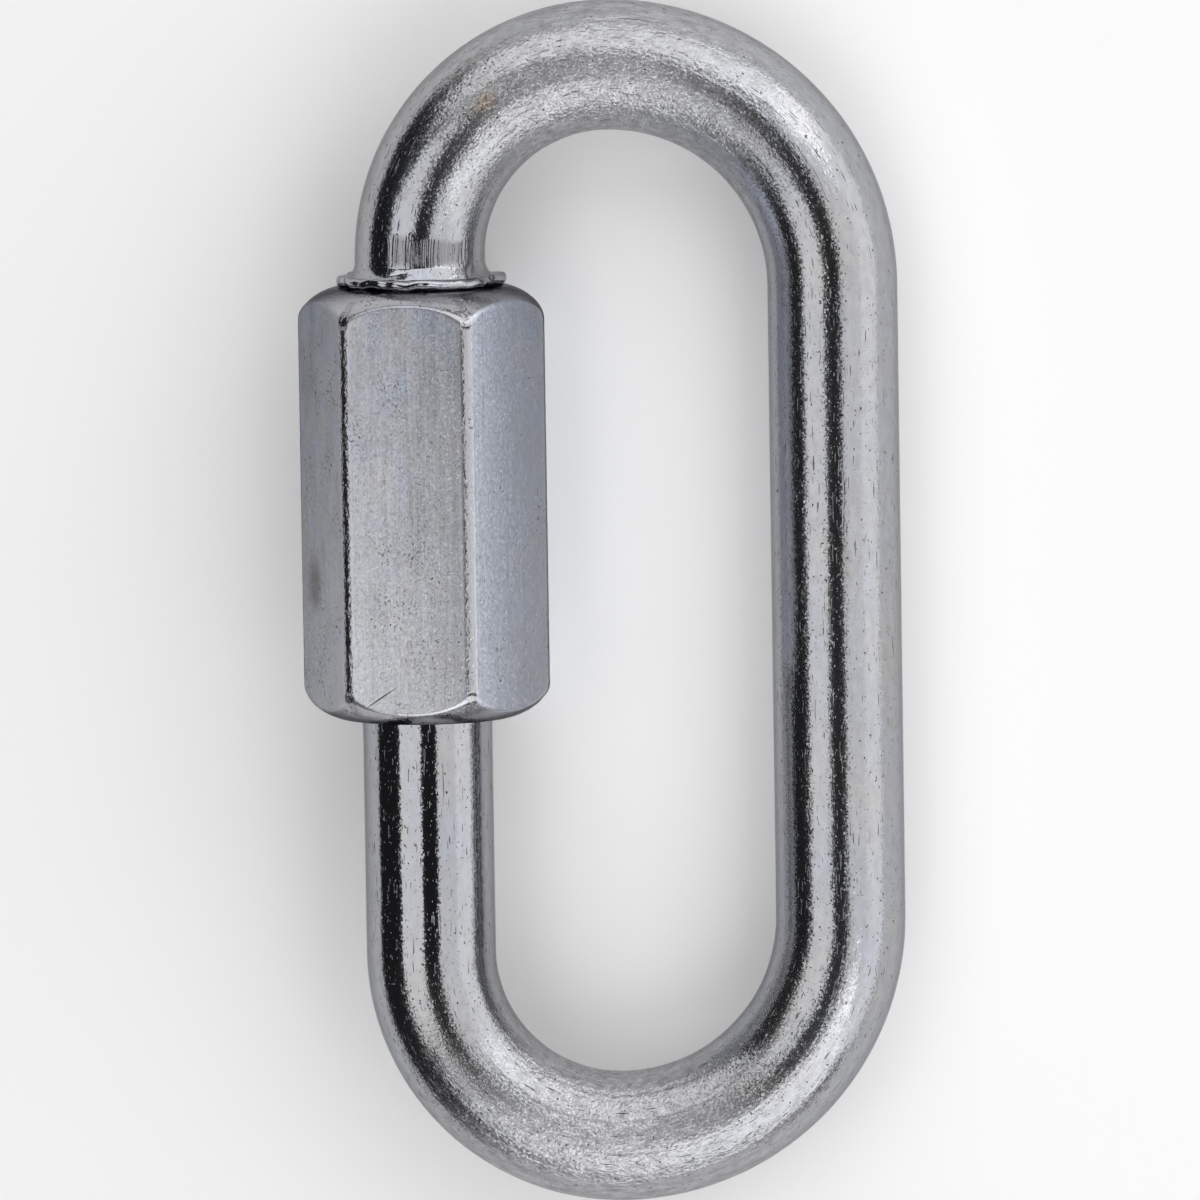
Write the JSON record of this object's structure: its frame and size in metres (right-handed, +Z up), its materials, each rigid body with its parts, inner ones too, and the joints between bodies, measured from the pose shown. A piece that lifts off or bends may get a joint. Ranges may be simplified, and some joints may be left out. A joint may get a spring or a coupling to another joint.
{
  "type": "chain quick link",
  "caption": "Oval zinc-plated steel quick link for chain: a bent round bar whose gate is closed by a long hexagonal sleeve nut that screws across threaded ends against a collar.",
  "frame": {"origin": "middle of the link's box, on the surface that the link lies on", "axes": "+Y along the legs towards the collar, +X from the nut to the plain leg, +Z up from the surface"},
  "size_m": [0.046, 0.0926, 0.017],
  "materials": {
    "plated_bar": "cold-formed steel bar, bright zinc plated and clear passivated",
    "plated_nut": "drawn hexagon steel, satin zinc plated and clear passivated"
  },
  "bodies": {
    "link": {"link_bar": "plated_bar"},
    "nut": {"sleeve_nut": "plated_nut"}
  },
  "joints": [
    {"name": "nut_travel", "type": "slide", "parent": "link", "child": "nut", "axis": [0, -1, 0], "range_m": [0, 0.018]}
  ]
}
